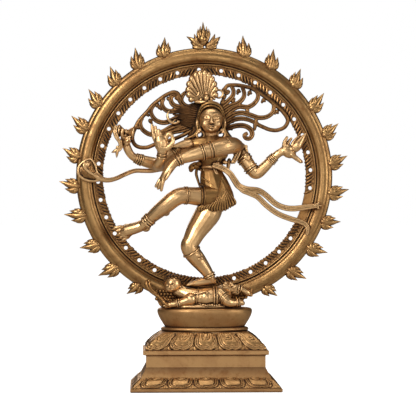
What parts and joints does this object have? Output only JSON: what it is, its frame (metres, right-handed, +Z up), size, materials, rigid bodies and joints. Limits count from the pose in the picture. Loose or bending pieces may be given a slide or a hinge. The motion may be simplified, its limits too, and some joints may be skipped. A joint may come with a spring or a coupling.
{
  "type": "dancing figure statue in a flame ring",
  "caption": "Cast brass dancing figure inside a ring of flames, standing on a dwarf over an oval bowl seat and a rectangular lotus pedestal in tiers.",
  "frame": {"origin": "middle of the pedestal's underside, on the surface that it stands on", "axes": "+Z up, the figure faces -Y, +X to the right seen from the front; the ring lies in an XZ plane"},
  "size_m": [0.3554, 0.124, 0.4582],
  "materials": {
    "polished_brass": "polished antique brass, worn bright on the high places and brown in the recesses",
    "satin_brass": "satin brass, brushed along its length",
    "carved_brass": "chiselled brass with brown patina in the cuts",
    "dark_brass": "dark patinated brass with rubbed edges",
    "steel": "plain zinc-plated steel"
  },
  "bodies": {
    "root": {"pedestal_lower_tier": "satin_brass", "pedestal_upper_tier": "satin_brass", "pedestal_lip": "satin_brass", "bowl_seat": "satin_brass", "fixing_bolt_left": "steel", "fixing_bolt_right": "steel", "ring_hoop": "satin_brass", "ring_pierced_band": "carved_brass", "ring_foot_left": "carved_brass", "ring_foot_right": "carved_brass", "flame_top": "polished_brass", "torso": "polished_brass", "head": "polished_brass", "crown_fan": "polished_brass", "crescent_moon": "polished_brass", "earring_left": "polished_brass", "earring_right": "polished_brass", "front_arm_crossing": "polished_brass", "front_arm_raised": "polished_brass", "hand_drum": "polished_brass", "drum_ribbons": "polished_brass", "rear_arm_drum": "polished_brass", "rear_arm_flame": "polished_brass", "palm_flame": "polished_brass", "raised_leg": "polished_brass", "standing_leg": "polished_brass", "dwarf_body": "polished_brass", "dwarf_head": "polished_brass", "cobra": "polished_brass", "sash_upper": "polished_brass", "sash_lower": "polished_brass", "flame_left_01": "polished_brass", "flame_right_01": "polished_brass", "flame_left_02": "polished_brass", "flame_right_02": "polished_brass", "flame_left_03": "polished_brass", "flame_right_03": "polished_brass", "flame_left_04": "polished_brass", "flame_right_04": "polished_brass", "flame_left_05": "polished_brass", "flame_right_05": "polished_brass", "flame_left_06": "polished_brass", "flame_right_06": "polished_brass", "flame_left_07": "polished_brass", "flame_right_07": "polished_brass", "flame_left_08": "polished_brass", "flame_right_08": "polished_brass", "flame_left_09": "polished_brass", "flame_right_09": "polished_brass", "flame_left_10": "polished_brass", "flame_right_10": "polished_brass", "flame_left_11": "polished_brass", "flame_right_11": "polished_brass", "skirt": "carved_brass", "waist_knot": "carved_brass", "small_snake": "carved_brass", "hair_left": "dark_brass", "hair_right": "dark_brass"}
  },
  "joints": []
}
